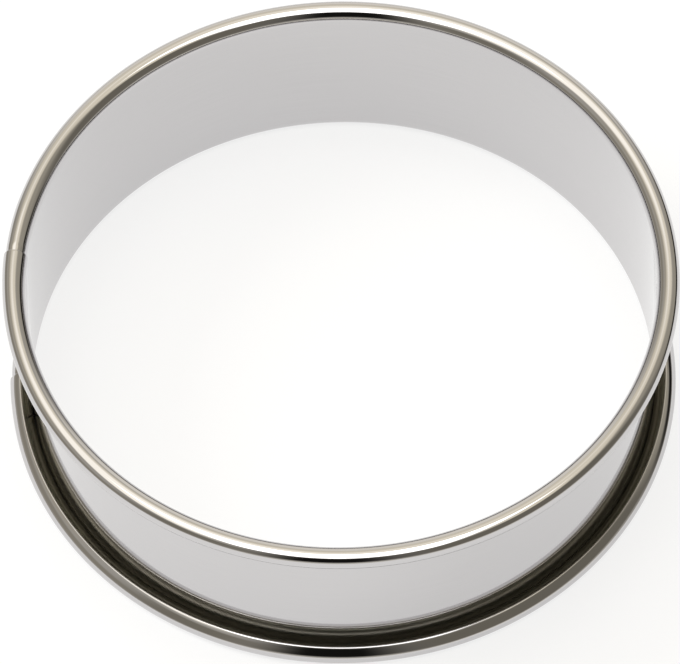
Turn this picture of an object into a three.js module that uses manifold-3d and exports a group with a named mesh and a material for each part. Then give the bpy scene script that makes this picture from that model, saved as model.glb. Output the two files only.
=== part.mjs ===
// Cake ring: a round band of thin sheet steel with an open curl rolled outwards on both rims.
// The strip's two ends lap at the seam, on the -X side, where spot welds hold them together.
// Millimetres, +Z up, origin at the centre of the base plane.

import * as THREE from 'three';
import { mergeVertices } from 'three/addons/utils/BufferGeometryUtils.js';
import Module from 'manifold-3d';

const wasm = await Module();
wasm.setup();

// Driving dimensions
const innerDiameter = 80;
const ringHeight = 25.2;
const sheetThickness = 0.2;
const rootRadius = 1.58;
const beadRadius = 1.17;
const lipRadius = 2.7;
const beadStart = THREE.MathUtils.degToRad(113);
const lipStart = THREE.MathUtils.degToRad(218);
const lipEnd = THREE.MathUtils.degToRad(245);
const lapLength = 5;
const joggleLength = 8;
const seamLean = 4.3;
const leanFade = 25;
const weldDiameter = 2;
const weldInset = 6.2;

// Clearances
const lapClearance = 0.05;
const weldClearance = 0.1;
const weldRecess = 0.02;

// Facets
const curlFacets = 9;
const curlFacetAngle = Math.PI / 8;
const hoopSteps = 72;
const lapSteps = 2;
const weldSides = 12;

// Sizes that follow from the driving dimensions
const wallRadius = innerDiameter / 2;
const rootCentreRadius = wallRadius + rootRadius;
const upperRootHeight = ringHeight - rootRadius;
const lowerRootHeight = rootRadius;
const lapShift = sheetThickness + lapClearance;
const lapDepth = lapShift + sheetThickness;
const halfLap = lapLength / wallRadius / 2;
const joggleStart = 2 * Math.PI - halfLap - joggleLength / wallRadius;

// A turn along the strip runs from the middle of the lap round to the middle of the lap again.
// The cut ends lean, so the azimuth shifts with height near the seam and fades to none away from it.
function azimuth(turn, height) {
  const fromSeam = Math.min(Math.abs(turn), Math.abs(2 * Math.PI - turn));
  const fadeEnd = halfLap + leanFade / wallRadius;
  const leanShare = 1 - THREE.MathUtils.smoothstep(fromSeam, halfLap, fadeEnd);
  const lean = (seamLean / wallRadius) * (0.5 - height / ringHeight);
  return Math.PI + turn + leanShare * lean;
}

// Evenly spaced turns from one angle to another, both included
function turns(from, to, steps) {
  return Array.from({ length: steps + 1 }, (_, i) => THREE.MathUtils.lerp(from, to, i / steps));
}

// A closed skin over a run of like profiles, each a ring of (radius, height) points at its own turn.
// Each four-sided patch is split along its shorter diagonal.
function loft(runOfTurns, profiles) {
  const count = profiles[0].length;
  const last = (profiles.length - 1) * count;
  const points = profiles.flatMap((profile, i) => profile.map((point) => {
    const angle = azimuth(runOfTurns[i], point.y);
    return new THREE.Vector3(point.x * Math.cos(angle), point.x * Math.sin(angle), point.y);
  }));
  const index = [];
  for (let start = 0; start < last; start += count) {
    for (let j = 0; j < count; j += 1) {
      const a = start + j;
      const b = a + count;
      const d = start + ((j + 1) % count);
      const c = d + count;
      if (points[a].distanceTo(points[c]) < points[b].distanceTo(points[d])) {
        index.push(a, b, c, a, c, d);
      } else {
        index.push(a, b, d, b, c, d);
      }
    }
  }
  for (const [a, b, c] of THREE.ShapeUtils.triangulateShape(profiles[0], [])) {
    index.push(a, b, c);
  }
  for (const [a, b, c] of THREE.ShapeUtils.triangulateShape(profiles.at(-1), [])) {
    index.push(last + a, last + c, last + b);
  }
  const geometry = new THREE.BufferGeometry().setFromPoints(points);
  geometry.setIndex(index);
  return geometry;
}

// The way that the curl's bright face looks, at an angle round the curl from the wall
function facing(angle) {
  return new THREE.Vector2(-Math.cos(angle), Math.sin(angle));
}

// The bright face from the centre of the root arc: a wide arc off the wall, a tighter one round the
// bead and a nearly flat lip up to the free edge, each going on smoothly from the one before
function onCurl(angle) {
  const round = facing(Math.max(angle, beadStart)).sub(facing(beadStart));
  const lip = facing(Math.max(angle, lipStart)).sub(facing(lipStart));
  return facing(angle).multiplyScalar(rootRadius)
    .addScaledVector(round, beadRadius - rootRadius)
    .addScaledVector(lip, lipRadius - beadRadius);
}

// How far the flat that touches the curl at an angle lies from the centre of the root arc
function reach(angle, inset) {
  return onCurl(angle).dot(facing(angle)) - inset;
}

// The corner where two such flats meet
function corner(angle, nextAngle, inset) {
  const near = reach(angle, inset);
  const far = reach(nextAngle, inset);
  const between = Math.sin(nextAngle - angle);
  return new THREE.Vector2(
    (far * Math.sin(angle) - near * Math.sin(nextAngle)) / between,
    (far * Math.cos(angle) - near * Math.cos(nextAngle)) / between,
  );
}

// One curl as flats that touch it, from the wall round to the free edge
function curl(inset, rootHeight, upwards) {
  const lipAngle = (lipStart + lipEnd) / 2;
  const flats = [...turns(0, curlFacets * curlFacetAngle, curlFacets), lipAngle];
  const corners = flats.slice(1).map((angle, i) => corner(flats[i], angle, inset));
  const freeEdge = onCurl(lipEnd);
  const lipFace = facing(lipAngle);
  freeEdge.addScaledVector(lipFace, reach(lipAngle, inset) - freeEdge.dot(lipFace));
  return [...corners, freeEdge].map((point) => new THREE.Vector2(
    rootCentreRadius + point.x,
    rootHeight + upwards * point.y,
  ));
}

// One face of the strip, from the lower curl's free edge up the wall to the upper curl's free edge
function stripFace(inset) {
  const lower = curl(inset, lowerRootHeight, -1);
  const upper = curl(inset, upperRootHeight, 1);
  return [...lower.reverse(), ...upper];
}

// The strip's cross-section: inset is how far it steps back to pass behind the other end
function stripProfile(inset) {
  const bright = stripFace(inset);
  const back = stripFace(inset + sheetThickness);
  return [...back, ...bright.reverse()];
}

function joggle(turn) {
  return lapShift * THREE.MathUtils.smoothstep(turn, joggleStart, 2 * Math.PI - halfLap);
}

// The strip in one piece, once round and on through the lap
function stripGeometry() {
  const run = [
    ...turns(-halfLap, halfLap, lapSteps),
    ...turns(halfLap, 2 * Math.PI - halfLap, hoopSteps).slice(1),
    ...turns(2 * Math.PI - halfLap, 2 * Math.PI + halfLap, lapSteps).slice(1),
  ];
  return loft(run, run.map((turn) => stripProfile(joggle(turn))));
}

// A short round plug along the radius through both layers of the lap
function plug(radius, length, height) {
  const angle = azimuth(0, height);
  const mesh = new THREE.Mesh(new THREE.CylinderGeometry(radius, radius, length, weldSides));
  const middle = wallRadius + lapDepth / 2;
  mesh.position.set(middle * Math.cos(angle), middle * Math.sin(angle), height);
  mesh.rotation.z = angle - Math.PI / 2;
  mesh.updateMatrixWorld();
  return mesh;
}

function toSolid(geometry) {
  const bare = geometry.clone();
  bare.deleteAttribute('normal');
  bare.deleteAttribute('uv');
  const merged = mergeVertices(bare);
  const vertProperties = new Float32Array(merged.attributes.position.array);
  const triVerts = new Uint32Array(merged.index.array);
  return new wasm.Manifold(new wasm.Mesh({ numProp: 3, vertProperties, triVerts }));
}

function fromSolid(solid) {
  const mesh = solid.getMesh();
  const geometry = new THREE.BufferGeometry();
  geometry.setAttribute('position', new THREE.BufferAttribute(mesh.vertProperties, 3));
  geometry.setIndex(new THREE.BufferAttribute(mesh.triVerts, 1));
  geometry.computeVertexNormals();
  return geometry;
}

const polishedSteel = new THREE.MeshStandardMaterial({ color: 0xc9c6c2, roughness: 0.12, metalness: 1 });
const weldMetal = new THREE.MeshStandardMaterial({ color: 0xaaa6a0, roughness: 0.5, metalness: 1 });

const cakeRing = new THREE.Group();

function addPiece(name, mesh, material) {
  mesh.name = name;
  mesh.material = material.clone();
  cakeRing.add(mesh);
}

// Spot welds, evenly placed up the lap, each in a hole that passes through both layers
const weldHeights = {
  seam_weld_lower: weldInset,
  seam_weld_middle: ringHeight / 2,
  seam_weld_upper: ringHeight - weldInset,
};

let band = toSolid(stripGeometry());
for (const [name, height] of Object.entries(weldHeights)) {
  const weld = plug(weldDiameter / 2, lapDepth - 2 * weldRecess, height);
  const hole = plug(weldDiameter / 2 + weldClearance, 3 * lapDepth, height);
  band = band.subtract(toSolid(hole.geometry.applyMatrix4(hole.matrixWorld)));
  addPiece(name, weld, weldMetal);
}

addPiece('ring_band', new THREE.Mesh(fromSolid(band)), polishedSteel);

export default cakeRing;
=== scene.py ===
"""A cake ring: one band of polished sheet steel with an open curl rolled outwards on both rims,
lapped and spot-welded at one seam, standing on a pale table under a soft overhead light."""

import math

import bpy
import numpy as np
from mathutils import Matrix, Vector


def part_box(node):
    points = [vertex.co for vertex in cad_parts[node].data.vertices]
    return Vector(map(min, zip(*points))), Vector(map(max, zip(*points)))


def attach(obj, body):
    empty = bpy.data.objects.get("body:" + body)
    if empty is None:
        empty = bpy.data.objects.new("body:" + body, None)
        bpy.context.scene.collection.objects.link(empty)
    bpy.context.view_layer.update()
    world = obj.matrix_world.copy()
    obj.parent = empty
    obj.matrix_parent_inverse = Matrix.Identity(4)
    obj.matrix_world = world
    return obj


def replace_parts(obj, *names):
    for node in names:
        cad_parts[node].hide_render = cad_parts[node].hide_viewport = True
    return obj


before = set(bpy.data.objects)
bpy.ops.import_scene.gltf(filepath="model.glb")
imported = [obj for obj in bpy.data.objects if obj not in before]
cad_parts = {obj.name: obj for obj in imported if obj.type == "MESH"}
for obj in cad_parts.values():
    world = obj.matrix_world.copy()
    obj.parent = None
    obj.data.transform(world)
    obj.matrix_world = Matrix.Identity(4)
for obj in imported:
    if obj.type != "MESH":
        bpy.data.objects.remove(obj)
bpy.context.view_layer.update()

# The band
# One strip of thin polished stainless steel, bent into a hoop, with both long edges rolled
# outwards into open curls. At the seam, on the -X side, its ends lap and one curl sleeves the other.

band_low, band_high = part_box("ring_band")
ring_height = band_high.z - band_low.z
wall_radius = 0.0400
sheet_thickness = 0.0002
root_radius = 0.00158
bead_radius = 0.00117
lip_radius = 0.0027
bead_start = math.radians(113)
lip_start = math.radians(218)
lip_end = math.radians(243.5)
edge_run = 2.0
thinnest_end = 0.35
lap_length = 0.005
seam_lean = 0.0043
lean_fade = 0.025
flare_length = 0.006
flare_out = 0.00008
joggle_length = 0.008
joggle_in = 0.00011
joggle_down = 0.00012
pinch_length = 0.0012
pinch_in = 0.0001
pinch_down = 0.00012
pinch_overrun = 0.3

root_centre_radius = wall_radius + root_radius
half_lap = lap_length / wall_radius / 2
inner_end_shows = 2 * math.pi - half_lap


def smooth_step(value, start, end):
    """0 up to start and 1 from end on, with 3t^2 - 2t^3 between, t being the share of the way."""
    share = np.clip((value - start) / (end - start), 0, 1)
    return share * share * (3 - 2 * share)


def seam_azimuth(turn, height):
    """Half a circle plus the turn along the strip. Near the seam it shifts with the height,
    because the strip's cut ends lean, and the shift fades out along the hoop."""
    from_seam = np.minimum(np.abs(turn), np.abs(2 * math.pi - turn))
    lean_share = 1 - smooth_step(from_seam, half_lap, half_lap + lean_fade / wall_radius)
    lean = seam_lean / wall_radius * (0.5 - height / ring_height)
    return math.pi + turn + lean_share * lean


def curl_section(angle):
    """The curl's bright face from the centre of its root arc, as radius and rise: an arc of the root
    radius off the wall, from bead_start one of the bead radius and from lip_start one of the lip
    radius, each going on smoothly from the one before. The angle is the way that the face looks."""
    on_bead = np.maximum(angle, bead_start)
    on_lip = np.maximum(angle, lip_start)
    tighter = bead_radius - root_radius
    wider = lip_radius - bead_radius
    radius = -root_radius * np.cos(angle)
    radius -= tighter * (np.cos(on_bead) - math.cos(bead_start))
    radius -= wider * (np.cos(on_lip) - math.cos(lip_start))
    rise = root_radius * np.sin(angle)
    rise += tighter * (np.sin(on_bead) - math.sin(bead_start))
    rise += wider * (np.sin(on_lip) - math.sin(lip_start))
    return radius, rise


def strip_outline(bend_points=44, lip_points=10, wall_points=8, edge_points=6):
    """One walk round the strip's cross-section, from the middle of the lower free edge over the bright
    face to the upper free edge and back over the rear face. For each point it gives the angle round
    the curl, the height of the curl's root centre, the side (-1 lower, 1 upper), and how far it lies
    across and along the sheet, in half thicknesses. At a free edge the bright face bends down to the
    rear one in a quarter of an ellipse, edge_run long. Point k lies opposite to point -1 - k."""
    bend = np.linspace(0, lip_start, bend_points + 1)
    lip = np.linspace(lip_start, lip_end, lip_points + 1)[1:]
    round_curl = np.concatenate([bend, lip])
    up_wall = (1 - np.cos(np.linspace(0, math.pi, wall_points + 2)[1:-1])) / 2
    angle = np.concatenate([round_curl[::-1], 0 * up_wall, round_curl])
    side = np.concatenate([0 * round_curl - 1, 0 * up_wall + 1, 0 * round_curl + 1])
    climb = np.concatenate([0 * round_curl, up_wall, 0 * round_curl + 1])
    height = root_radius + climb * (ring_height - 2 * root_radius)
    place = np.arange(len(angle))
    over_edge = np.linspace(0, math.pi / 2, edge_points + 1)[1:]
    edge_across = 2 * np.cos(over_edge) - 1
    edge_along = edge_run * np.sin(over_edge)
    at_end = np.zeros(edge_points, int)
    walk = np.concatenate([place, at_end + place[-1], place[::-1], at_end])
    across = np.concatenate([0 * place + 1, edge_across, 0 * place - 1, edge_across[::-1]])
    along = np.concatenate([0 * place, edge_along, 0 * place, edge_along[::-1]])
    start = edge_points // 2
    return [np.roll(values, start) for values in (angle[walk], height[walk], side[walk], across, along)]


def strip_points(turn, narrower, lower, slim, outline):
    """Each station along the strip carries the outline of the curls and the wall. The across and along
    offsets give the sheet its thickness, which slim reduces at the cut ends. At the lap one end
    is narrower or lower than the curl by the amounts given, so that it fits inside the other."""
    angle, height, side, across, along = outline
    half = sheet_thickness / 2
    depth = half * (slim[:, None] * across - 1)
    edge = half * slim[:, None] * along
    radius, rise = curl_section(angle)
    radius = radius - (depth - narrower[:, None]) * np.cos(angle) + edge * np.sin(angle)
    rise = rise + (depth - lower[:, None]) * np.sin(angle) + edge * np.cos(angle)
    z = height + side * rise
    azimuth = seam_azimuth(turn[:, None], z)
    out = root_centre_radius + radius
    return np.stack([out * np.cos(azimuth), out * np.sin(azimuth), z], axis=2)


def grid_mesh(name, points, uv):
    """A closed skin over a grid of points: rows are joined round the outline and from station to
    station, and each end is capped by joining every point to the one opposite."""
    stations, count = points.shape[:2]
    row, column = np.meshgrid(np.arange(stations - 1), np.arange(count), indexing="ij")
    row, column = row.ravel(), column.ravel()
    corner_row = np.stack([row, row, row + 1, row + 1], axis=1)
    corner_column = np.stack([column, column + 1, column + 1, column], axis=1)
    rung = np.arange(count // 2 - 1)
    cap_column = np.stack([rung, rung + 1, count - 2 - rung, count - 1 - rung], axis=1)
    corner_row = np.concatenate([corner_row, 0 * cap_column, 0 * cap_column + stations - 1])
    corner_column = np.concatenate([corner_column, cap_column[:, ::-1], cap_column])
    corners = corner_row * count + corner_column % count
    mesh = bpy.data.meshes.new(name)
    mesh.from_pydata(points.reshape(-1, 3).tolist(), [], corners.tolist())
    mesh.polygons.foreach_set("use_smooth", np.ones(len(corners), bool))
    layer = mesh.uv_layers.new(name="strip")
    along, across = uv
    flat = np.stack([along[corner_row], across[corner_column]], axis=2)
    layer.data.foreach_set("uv", flat.astype(np.float32).ravel())
    mesh.update()
    return mesh


def strip_stations():
    """Turns along the strip, closer together at the seam, and the share of the thickness at each. The
    sheet is rounded off over half its thickness at both cut ends, down to thinnest_end."""
    round_off = np.array([0, 0.3, 0.7])
    end_length = sheet_thickness / 2 / wall_radius
    first, last = -half_lap, 2 * math.pi + half_lap
    flare_end = first + flare_length / wall_radius
    joggle_start = inner_end_shows - joggle_length / wall_radius
    pinch_start = inner_end_shows - 2 * pinch_length / wall_radius
    pinch_end = inner_end_shows + pinch_length / wall_radius
    middle = np.concatenate([
        np.linspace(first + end_length, flare_end, 30),
        np.linspace(flare_end, joggle_start, 250)[1:],
        np.linspace(joggle_start, pinch_start, 20)[1:],
        np.linspace(pinch_start, pinch_end, 24)[1:],
        np.linspace(pinch_end, last - end_length, 12)[1:],
    ])
    turn = np.concatenate([first + round_off * end_length, middle, last - round_off[::-1] * end_length])
    to_end = np.minimum(turn - first, last - turn) / end_length
    slim = np.sqrt(1 - (1 - np.clip(to_end, 0, 1)) ** 2)
    return turn, np.maximum(slim, thinnest_end)


def lap_fit(turn):
    """How much narrower and lower the strip is than the plain curl. The outer end flares a little at
    its cut end. The inner end draws in along the joggle, and is pinched just before it enters. Each is
    an amount times a smooth step along the strip, and they add up."""
    flare = 1 - smooth_step(turn, -half_lap, -half_lap + flare_length / wall_radius)
    joggle = smooth_step(turn, inner_end_shows - joggle_length / wall_radius, inner_end_shows)
    pinch = pinch_length / wall_radius
    pinched = smooth_step(turn, inner_end_shows - pinch, inner_end_shows + pinch_overrun * pinch)
    narrower = -flare_out * flare + joggle_in * joggle + pinch_in * pinched
    lower = joggle_down * joggle + pinch_down * pinched
    return narrower, lower


band_turn, band_slim = strip_stations()
band_outline = strip_outline()
band_points = strip_points(band_turn, *lap_fit(band_turn), band_slim, band_outline)
outline_steps = np.linalg.norm(np.diff(band_points, axis=1, append=band_points[:, :1]), axis=2)
round_outline = np.concatenate([[0], np.cumsum(np.median(outline_steps, axis=0))])
band_uv = (band_turn * wall_radius, round_outline)
band = bpy.data.objects.new("band", grid_mesh("band", band_points, band_uv))
bpy.context.collection.objects.link(band)
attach(band, "root")
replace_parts(band, "ring_band")


def add_node(tree, kind, **values):
    """Adds a shader node and sets its properties and unlinked inputs by name."""
    node = tree.nodes.new(kind)
    for name, value in values.items():
        if hasattr(node, name):
            setattr(node, name, value)
        else:
            node.inputs[name.replace("_", " ")].default_value = value
    return node


def handling_marks():
    """A node group for the wear on bare metal: soft blotches from fingers and cloths, and fine rubbed
    lines along the strip. Both come out as shares from 0 to 1."""
    group = bpy.data.node_groups.new("handling_marks", "ShaderNodeTree")
    group.interface.new_socket("Place", in_out="INPUT", socket_type="NodeSocketVector")
    group.interface.new_socket("Along", in_out="INPUT", socket_type="NodeSocketVector")
    group.interface.new_socket("Blotches", in_out="OUTPUT", socket_type="NodeSocketFloat")
    group.interface.new_socket("Lines", in_out="OUTPUT", socket_type="NodeSocketFloat")
    given = add_node(group, "NodeGroupInput")
    result = add_node(group, "NodeGroupOutput")
    blotches = add_node(group, "ShaderNodeTexNoise", Scale=130.0, Detail=4.0)
    spread = add_node(group, "ShaderNodeMapRange", From_Min=0.35, From_Max=0.7)
    stretch = add_node(group, "ShaderNodeMapping", Scale=(60, 9000, 1))
    lines = add_node(group, "ShaderNodeTexNoise", Scale=1.0, Detail=3.0)
    group.links.new(given.outputs["Place"], blotches.inputs["Vector"])
    group.links.new(blotches.outputs["Fac"], spread.inputs["Value"])
    group.links.new(spread.outputs["Result"], result.inputs["Blotches"])
    group.links.new(given.outputs["Along"], stretch.inputs["Vector"])
    group.links.new(stretch.outputs["Vector"], lines.inputs["Vector"])
    group.links.new(lines.outputs["Fac"], result.inputs["Lines"])
    return group


marks_group = handling_marks()


def bare_metal(name, dark, light, smooth, rough, relief):
    """Bare metal under the handling marks: the colour runs from dark to light along the rubbed lines,
    the roughness from smooth to rough over the blotches, and the lines stand up by the relief."""
    material = bpy.data.materials.new(name)
    material.use_nodes = True
    tree = material.node_tree
    shader = tree.nodes["Principled BSDF"]
    shader.inputs["Metallic"].default_value = 1
    place = add_node(tree, "ShaderNodeTexCoord")
    strip = add_node(tree, "ShaderNodeUVMap", uv_map="strip")
    marks = add_node(tree, "ShaderNodeGroup", node_tree=marks_group)
    colour = add_node(tree, "ShaderNodeValToRGB")
    colour.color_ramp.elements[0].color = (*dark, 1)
    colour.color_ramp.elements[1].color = (*light, 1)
    finish = add_node(tree, "ShaderNodeMapRange", To_Min=smooth, To_Max=rough)
    raised = add_node(tree, "ShaderNodeBump", Strength=0.1, Distance=relief)
    tree.links.new(place.outputs["Object"], marks.inputs["Place"])
    tree.links.new(strip.outputs["UV"], marks.inputs["Along"])
    tree.links.new(marks.outputs["Lines"], colour.inputs["Fac"])
    tree.links.new(colour.outputs["Color"], shader.inputs["Base Color"])
    tree.links.new(marks.outputs["Blotches"], finish.inputs["Value"])
    tree.links.new(finish.outputs["Result"], shader.inputs["Roughness"])
    tree.links.new(marks.outputs["Lines"], raised.inputs["Height"])
    tree.links.new(raised.outputs["Normal"], shader.inputs["Normal"])
    return material


steel = bare_metal("polished_steel", dark=(0.57, 0.56, 0.565), light=(0.61, 0.6, 0.605),
                   smooth=0.04, rough=0.08, relief=0.000004)
band.data.materials.append(steel)

curl_begins = 0.0118
curl_inside_full = 0.0132
curl_inside_roughness = 0.36
# Painted reflection: the warm yellow inside the curls stands in for dim warm light bounced round the
# channel, not the steel's own colour.
curl_inside_painted_warmth = (0.6, 0.585, 0.5)


def dull_and_paint_curl_inside(tree, outline_length):
    """Inside the curls the steel is duller, and its colour is mixed towards warm yellow, a painted
    reflection of the warm dim light bounced round the channel. The outline starts at the lower free edge
    and goes over the bright face first, so the rear face is about its second half, with the middle about
    three quarters of the way round. The share is 0 up to curl_begins from that middle, 1 from
    curl_inside_full on, and 0 in the first half."""
    shader = tree.nodes["Principled BSDF"]
    colour, roughness = shader.inputs["Base Color"], shader.inputs["Roughness"]
    strip = add_node(tree, "ShaderNodeUVMap", uv_map="strip")
    place = add_node(tree, "ShaderNodeSeparateXYZ")
    from_middle = add_node(tree, "ShaderNodeMath", operation="SUBTRACT")
    from_middle.inputs[1].default_value = 0.75 * outline_length
    distance = add_node(tree, "ShaderNodeMath", operation="ABSOLUTE")
    into_curl = add_node(tree, "ShaderNodeMapRange", From_Min=curl_begins, From_Max=curl_inside_full)
    short_of_edge = add_node(tree, "ShaderNodeMath", operation="LESS_THAN")
    short_of_edge.inputs[1].default_value = 0.25 * outline_length
    inside = add_node(tree, "ShaderNodeMath", operation="MULTIPLY")
    inside_roughness = add_node(tree, "ShaderNodeMath", operation="MULTIPLY")
    inside_roughness.inputs[1].default_value = curl_inside_roughness
    duller = add_node(tree, "ShaderNodeMath", operation="MAXIMUM")
    # Painted reflection: mixes the colour inside the curls towards warm yellow.
    painted_warmth = add_node(tree, "ShaderNodeMixRGB", Color2=(*curl_inside_painted_warmth, 1))
    tree.links.new(strip.outputs["UV"], place.inputs[0])
    tree.links.new(place.outputs["Y"], from_middle.inputs[0])
    tree.links.new(from_middle.outputs[0], distance.inputs[0])
    tree.links.new(distance.outputs[0], into_curl.inputs["Value"])
    tree.links.new(distance.outputs[0], short_of_edge.inputs[0])
    tree.links.new(into_curl.outputs["Result"], inside.inputs[0])
    tree.links.new(short_of_edge.outputs[0], inside.inputs[1])
    tree.links.new(inside.outputs[0], inside_roughness.inputs[0])
    tree.links.new(roughness.links[0].from_socket, duller.inputs[0])
    tree.links.new(inside_roughness.outputs[0], duller.inputs[1])
    tree.links.new(duller.outputs[0], roughness)
    tree.links.new(inside.outputs[0], painted_warmth.inputs["Fac"])
    tree.links.new(colour.links[0].from_socket, painted_warmth.inputs["Color1"])
    tree.links.new(painted_warmth.outputs["Color"], colour)


dull_and_paint_curl_inside(steel.node_tree, float(round_outline[-1]))

# The spot welds
# Three flat buttons of fused steel through the lapped ends, near both rims and halfway up. They are
# made by a welding tool that squeezes the lap from both sides, and show outside as dull spots.

weld_radius = 0.001
weld_half_depth = 0.0002
weld_inset = 0.0062
lap_gap = 0.00005
weld_metal = bare_metal("weld_metal", dark=(0.4, 0.37, 0.33), light=(0.5, 0.47, 0.44),
                        smooth=0.35, rough=0.55, relief=0.00002)


def weld_points(height, rings=10, sides=32, end_share=0.98):
    """A round button lying along the radius. Each ring has the button's radius times the fourth root of
    1 - t^4, where t is the share of the half depth, so its faces are flat and its rim is round."""
    share = np.linspace(-end_share, end_share, rings)
    reach = weld_radius * (1 - share ** 4) ** 0.25
    around = np.linspace(0, 2 * math.pi, sides, endpoint=False)
    out = (wall_radius + sheet_thickness + lap_gap + share * weld_half_depth)[:, None]
    sideways = reach[:, None] * np.cos(around)
    up = reach[:, None] * np.sin(around)
    azimuth = seam_azimuth(np.zeros(1), np.full(1, height))[0] + sideways / wall_radius
    return np.stack([out * np.cos(azimuth), out * np.sin(azimuth), height + up], axis=2)


def add_weld(name, height):
    """One weld at a height up the seam. Its map runs along its depth and round its rim, in metres."""
    points = weld_points(height)
    depth_uv = np.linspace(0, 2 * weld_half_depth, len(points))
    round_uv = np.linspace(0, 2 * math.pi * weld_radius, points.shape[1] + 1)
    weld = bpy.data.objects.new(name, grid_mesh(name, points, (depth_uv, round_uv)))
    bpy.context.collection.objects.link(weld)
    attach(weld, "root")
    weld.data.materials.append(weld_metal)
    return weld


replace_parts(add_weld("lower_weld", weld_inset), "seam_weld_lower")
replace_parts(add_weld("middle_weld", ring_height / 2), "seam_weld_middle")
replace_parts(add_weld("upper_weld", ring_height - weld_inset), "seam_weld_upper")

# The table
# A plain white table top of matt laminate under the ring, far larger than the picture.
# It keeps the ring's soft shadow.

table_reach = 6.0
table_matt = (0.25, 0.25, 0.25)
table_lift = 0.77
table_mesh = bpy.data.meshes.new("table")
table_corners = [(x * table_reach, y * table_reach, 0) for x, y in ((-1, -1), (1, -1), (1, 1), (-1, 1))]
table_mesh.from_pydata(table_corners, [], [(0, 1, 2, 3)])
table = bpy.data.objects.new("table", table_mesh)
bpy.context.collection.objects.link(table)


def table_white():
    """Matt white. What the camera, metal or glass sees of it is lifted to white, less the shadow."""
    material = bpy.data.materials.new("table_white")
    material.use_nodes = True
    tree = material.node_tree
    tree.nodes.remove(tree.nodes["Principled BSDF"])
    matt = add_node(tree, "ShaderNodeBsdfDiffuse", Color=(*table_matt, 1))
    lift = add_node(tree, "ShaderNodeEmission", Color=(1, 1, 1, 1), Strength=table_lift)
    lifted = add_node(tree, "ShaderNodeAddShader")
    tree.links.new(matt.outputs[0], lifted.inputs[0])
    tree.links.new(lift.outputs[0], lifted.inputs[1])
    path = add_node(tree, "ShaderNodeLightPath")
    seen = add_node(tree, "ShaderNodeMath", operation="ADD")
    seen_all = add_node(tree, "ShaderNodeMath", operation="ADD", use_clamp=True)
    tree.links.new(path.outputs["Is Camera Ray"], seen.inputs[0])
    tree.links.new(path.outputs["Is Glossy Ray"], seen.inputs[1])
    tree.links.new(seen.outputs[0], seen_all.inputs[0])
    tree.links.new(path.outputs["Is Transmission Ray"], seen_all.inputs[1])
    choice = add_node(tree, "ShaderNodeMixShader")
    tree.links.new(seen_all.outputs[0], choice.inputs[0])
    tree.links.new(matt.outputs[0], choice.inputs[1])
    tree.links.new(lifted.outputs[0], choice.inputs[2])
    tree.links.new(choice.outputs[0], tree.nodes["Material Output"].inputs["Surface"])
    return material


table_mesh.materials.append(table_white())

# The light
# A softbox overhead with a soft border, and a window to the left, which gives the shadow its side.
# Round the room stand soft-edged cards: pale behind the table, grey at the sides, dark by the camera.

softbox_height = 1.0
softbox_x = (-0.41, 0.37)
softbox_y = (-0.46, 0.26)
softbox_border = (0.16, 0.1)
softbox_radiance = 2.4
softbox_data = bpy.data.lights.new("softbox", "AREA")
softbox_data.shape = "RECTANGLE"
softbox_data.size = softbox_x[1] - softbox_x[0]
softbox_data.size_y = softbox_y[1] - softbox_y[0]
softbox_data.energy = softbox_radiance * math.pi * softbox_data.size * softbox_data.size_y
softbox = bpy.data.objects.new("softbox", softbox_data)
softbox.location = (sum(softbox_x) / 2, sum(softbox_y) / 2, softbox_height)
softbox.visible_camera = False
bpy.context.collection.objects.link(softbox)

softbox_data.use_nodes = True
softbox_tree = softbox_data.node_tree
softbox_cloth = add_node(softbox_tree, "ShaderNodeNewGeometry")
softbox_place = add_node(softbox_tree, "ShaderNodeSeparateXYZ")
softbox_tree.links.new(softbox_cloth.outputs["Parametric"], softbox_place.inputs[0])
softbox_fade = add_node(softbox_tree, "ShaderNodeMath", operation="MULTIPLY")
for axis, border in enumerate(softbox_border):
    from_middle = add_node(softbox_tree, "ShaderNodeMath", operation="PINGPONG")
    from_middle.inputs[1].default_value = 0.5
    edge = add_node(softbox_tree, "ShaderNodeMapRange", interpolation_type="SMOOTHSTEP", From_Max=border)
    softbox_tree.links.new(softbox_place.outputs[axis], from_middle.inputs[0])
    softbox_tree.links.new(from_middle.outputs[0], edge.inputs["Value"])
    softbox_tree.links.new(edge.outputs["Result"], softbox_fade.inputs[axis])
softbox_tree.links.new(softbox_fade.outputs[0], softbox_tree.nodes["Emission"].inputs["Strength"])

window_place = Vector((-0.9, 0.25, 0.75))
window_turn = window_place.to_track_quat("Z", "Y").to_matrix().to_4x4()
window_data = bpy.data.lights.new("window", "AREA")
window_data.size = 0.5
window_data.energy = 6.5
window = bpy.data.objects.new("window", window_data)
window.matrix_world = Matrix.Translation(window_place) @ window_turn
window.visible_camera = False
window.visible_glossy = False
bpy.context.collection.objects.link(window)

room_level = 0.5
card_side_softness = 14
card_top_softness = 4.5
pale_tint = (1, 0.95, 0.85)
warm_tint = (1, 0.92, 0.75)
room = bpy.data.worlds.new("studio_room")
room.use_nodes = True
room_tree = room.node_tree
room_sky = add_node(room_tree, "ShaderNodeTexCoord")
sky_axes = add_node(room_tree, "ShaderNodeSeparateXYZ")
sky_azimuth = add_node(room_tree, "ShaderNodeMath", operation="ARCTAN2")
sky_elevation = add_node(room_tree, "ShaderNodeMath", operation="ARCSINE")
room_tree.links.new(room_sky.outputs["Generated"], sky_axes.inputs[0])
room_tree.links.new(sky_axes.outputs["Y"], sky_azimuth.inputs[0])
room_tree.links.new(sky_axes.outputs["X"], sky_azimuth.inputs[1])
room_tree.links.new(sky_axes.outputs["Z"], sky_elevation.inputs[0])


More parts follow.
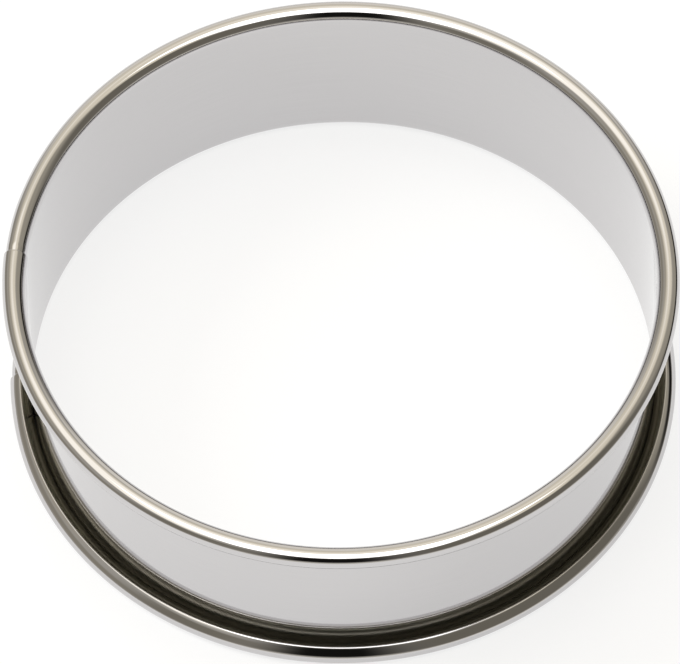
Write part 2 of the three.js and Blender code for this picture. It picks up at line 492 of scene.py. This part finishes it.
def card_cover(place, middle, half, softness):
    """One way across a card, as angles: 1 within the half size and 0 outside it, with a soft edge."""
    away = add_node(room_tree, "ShaderNodeMath", operation="SUBTRACT")
    away.inputs[1].default_value = math.radians(middle)
    nearest = add_node(room_tree, "ShaderNodeMath", operation="WRAP")
    nearest.inputs[1].default_value = math.pi
    nearest.inputs[2].default_value = -math.pi
    distance = add_node(room_tree, "ShaderNodeMath", operation="ABSOLUTE")
    cover = add_node(room_tree, "ShaderNodeMapRange", interpolation_type="SMOOTHSTEP")
    cover.inputs["To Min"].default_value = 1
    cover.inputs["To Max"].default_value = 0
    cover.inputs["From Min"].default_value = math.radians(half - softness)
    cover.inputs["From Max"].default_value = math.radians(half + softness)
    room_tree.links.new(place.outputs[0], away.inputs[0])
    room_tree.links.new(away.outputs[0], nearest.inputs[0])
    room_tree.links.new(nearest.outputs[0], distance.inputs[0])
    room_tree.links.new(distance.outputs[0], cover.inputs["Value"])
    return cover


def add_card(azimuth, elevation, half_width, half_height, level, tint):
    """Lays a card over the room so far, at an azimuth from +X and an elevation, all in degrees.
    Its colour is the level times the tint."""
    cover = add_node(room_tree, "ShaderNodeMath", operation="MULTIPLY")
    laid = add_node(room_tree, "ShaderNodeMixRGB", Color2=(*(level * share for share in tint), 1))
    across = card_cover(sky_azimuth, azimuth, half_width, card_side_softness)
    up = card_cover(sky_elevation, elevation, half_height, card_top_softness)
    room_tree.links.new(across.outputs["Result"], cover.inputs[0])
    room_tree.links.new(up.outputs["Result"], cover.inputs[1])
    room_tree.links.new(cover.outputs[0], laid.inputs["Fac"])
    behind = room_tree.nodes["Background"].inputs["Color"]
    if behind.links:
        room_tree.links.new(behind.links[0].from_socket, laid.inputs["Color1"])
    else:
        laid.inputs["Color1"].default_value = behind.default_value
    room_tree.links.new(laid.outputs["Color"], behind)


# The walls of the room, warm grey
room_colour = (*(room_level * share for share in pale_tint), 1)
room_tree.nodes["Background"].inputs["Color"].default_value = room_colour
# Behind the table: a pale wall, and a bright ceiling over it
add_card(90, 20, 30, 15, 1.0, pale_tint)
add_card(120, 48, 40, 12, 0.95, warm_tint)
add_card(135, 70, 85, 15, 1.6, pale_tint)
# To the left: two grey screens, one above the other
add_card(150, 40, 30, 8, 0.5, warm_tint)
add_card(170, 17, 40, 10, 0.35, warm_tint)
# To the right: a beige ceiling, a grey screen and the dark gap under it
add_card(30, 60, 60, 12, 1.05, warm_tint)
add_card(30, 40, 25, 22, 0.45, warm_tint)
add_card(30, 11, 25, 8, 0.01, pale_tint)
# On the camera's side: a dim room to the right, black round the camera, a dim screen to the left
add_card(330, 35, 45, 25, 0.2, warm_tint)
add_card(265, 40, 22, 24, 0.01, pale_tint)
add_card(225, 27, 20, 18, 0.25, warm_tint)
# Low in front: the pale floor beyond the table
add_card(285, -2, 55, 6, 0.9, pale_tint)
bpy.context.scene.world = room

# The camera
# A long lens, about a metre away, looking down on the ring along +Y.
# Its place comes from the outlines of the two rims.

photo_width = 680
lens_in_pixels = 7737.5
sensor_width = 36.0
camera_place = Vector((0, -0.54284, 0.83985))
camera_aim = Vector((-0.00028, 0, 0.01164))
camera_roll = math.radians(-1.346)

camera_data = bpy.data.cameras.new("camera")
camera_data.sensor_width = sensor_width
camera_data.lens = sensor_width * lens_in_pixels / photo_width
camera = bpy.data.objects.new("camera", camera_data)
camera_turn = (camera_aim - camera_place).to_track_quat("-Z", "Y").to_matrix().to_4x4()
camera_turn = camera_turn @ Matrix.Rotation(camera_roll, 4, "Z")
camera.matrix_world = Matrix.Translation(camera_place) @ camera_turn
bpy.context.collection.objects.link(camera)

scene = bpy.context.scene
scene.camera = camera
scene.view_settings.view_transform = "Standard"
